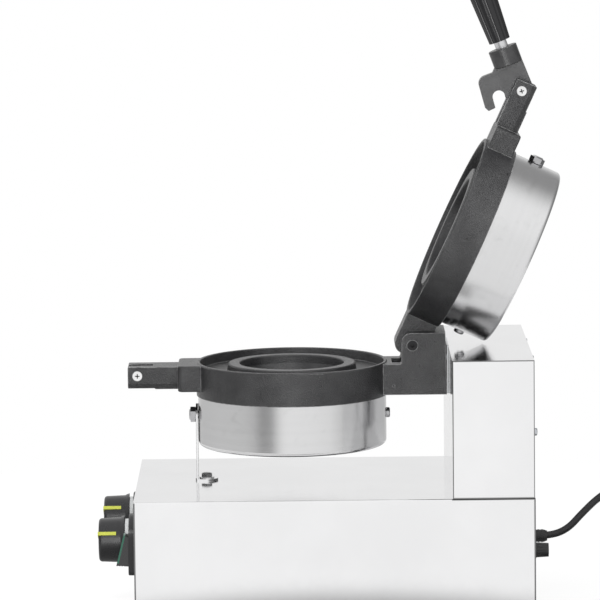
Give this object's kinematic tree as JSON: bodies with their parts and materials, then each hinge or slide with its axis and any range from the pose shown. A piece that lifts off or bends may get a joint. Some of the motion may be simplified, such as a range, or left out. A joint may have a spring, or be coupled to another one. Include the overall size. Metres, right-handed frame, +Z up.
{
  "type": "countertop round bun press",
  "caption": "Countertop hot press for round filled buns: a steel base with knobs, two round heated moulds on a hinge, and a lever with a hook that latches them shut.",
  "frame": {"origin": "on the table, under the middle of the base's length and width, which is within 3 mm of the middle of the whole object's box without its cord", "axes": "+X to the operator's right, -Y to the front with the knobs, +Y to the tower and cord, +Z up"},
  "size_m": [0.2759, 0.625, 0.6606],
  "materials": {
    "polished_steel": "polished",
    "inner_steel": "mill finish",
    "can_steel": "brushed",
    "strap_steel": "polished",
    "casting": "sand-cast, non-stick coated",
    "lever_paint": "black coated",
    "pin_steel": "turned",
    "latch_pin": "nickel plated",
    "bright_screw": "nickel plated",
    "zinc": "zinc plated",
    "element_steel": "heat darkened",
    "insulation": "fibre",
    "foot_rubber": "matte",
    "cord_jacket": "satin",
    "plug_plastic": "satin",
    "plug_metal": "nickel plated",
    "tie_plastic": "satin",
    "black_plastic": "satin",
    "grip_plastic": "gloss",
    "knob_plastic": "satin",
    "pointer_plastic": "satin",
    "scale_ring": "satin",
    "switch_green": "gloss",
    "control_plastic": "moulded",
    "terminal_plastic": "moulded"
  },
  "bodies": {
    "base": {"base_shell": "polished_steel", "front_panel": "polished_steel", "rear_panel": "polished_steel", "bottom_plate": "inner_steel", "rubber_feet": "foot_rubber", "foot_screws": "zinc", "foot_nuts": "zinc", "plate_screws": "zinc", "tower_shell": "polished_steel", "tower_rear_cover": "polished_steel", "tower_cover_screws": "zinc", "tower_bolts": "zinc", "hinge_bracket": "inner_steel", "bracket_bolts": "zinc", "hinge_spacer": "inner_steel", "hinge_bolts": "zinc", "hinge_pin": "pin_steel", "lower_mould": "casting", "lower_heating_element": "element_steel", "lower_insulation": "insulation", "lower_heater_can": "can_steel", "lower_front_screw": "bright_screw", "lower_rear_screw": "bright_screw", "lower_sensor_bulb": "element_steel", "support_strap": "strap_steel", "support_bolt": "bright_screw", "lower_latch_pin": "latch_pin", "thermostat_body": "control_plastic", "thermostat_bezel": "black_plastic", "thermostat_scale_ring": "scale_ring", "timer_body": "control_plastic", "timer_bezel": "black_plastic", "timer_scale_ring": "scale_ring", "switch_housing": "black_plastic", "terminal_block": "terminal_plastic", "strain_relief": "black_plastic", "fuse_holder": "black_plastic", "power_cord": "cord_jacket", "cord_coil": "cord_jacket", "cord_tie": "tie_plastic", "cord_tail": "cord_jacket", "plug_body": "plug_plastic", "plug_pins": "plug_metal"},
    "lid": {"upper_mould": "casting", "upper_heating_element": "element_steel", "upper_insulation": "insulation", "upper_heater_can": "can_steel", "upper_front_screw": "bright_screw", "upper_rear_screw": "bright_screw"},
    "latch_pivot": {"upper_latch_pin": "latch_pin"},
    "handle": {"hook_lever": "lever_paint", "handle_stud": "pin_steel", "handle_grip": "grip_plastic"},
    "thermostat_dial": {"thermostat_knob": "knob_plastic", "thermostat_pointer": "pointer_plastic", "thermostat_shaft": "pin_steel"},
    "timer_dial": {"timer_knob": "knob_plastic", "timer_pointer": "pointer_plastic", "timer_shaft": "pin_steel"},
    "rocker": {"switch_rocker": "switch_green"}
  },
  "joints": [
    {"name": "lid_hinge", "type": "hinge", "parent": "base", "child": "lid", "pos_m": [0, 0.0773, 0.2632], "axis": [1, 0, 0], "range_deg": [0, 114.8]},
    {"name": "latch_swing", "type": "hinge", "parent": "lid", "child": "latch_pivot", "pos_m": [0, 0.18413, 0.50631], "axis": [1, 0, 0], "range_deg": [-75.1, 0]},
    {"name": "handle_lever", "type": "hinge", "parent": "latch_pivot", "child": "handle", "pos_m": [0, 0.18413, 0.50631], "axis": [1, 0, 0], "range_deg": [0, 35]},
    {"name": "thermostat_turn", "type": "hinge", "parent": "base", "child": "thermostat_dial", "pos_m": [0.062, -0.2, 0.083], "axis": [0, 1, 0], "range_deg": [-64, 206]},
    {"name": "timer_turn", "type": "hinge", "parent": "base", "child": "timer_dial", "pos_m": [-0.062, -0.2, 0.083], "axis": [0, 1, 0], "range_deg": [-55, 245]},
    {"name": "switch_tilt", "type": "hinge", "parent": "base", "child": "rocker", "pos_m": [0.1005, -0.191, 0.0775], "axis": [1, 0, 0], "range_deg": [0, 27.6]}
  ],
  "couplings": [
    {"joint": "latch_swing", "follows": "lid_hinge", "ratio": -0.6533}
  ]
}
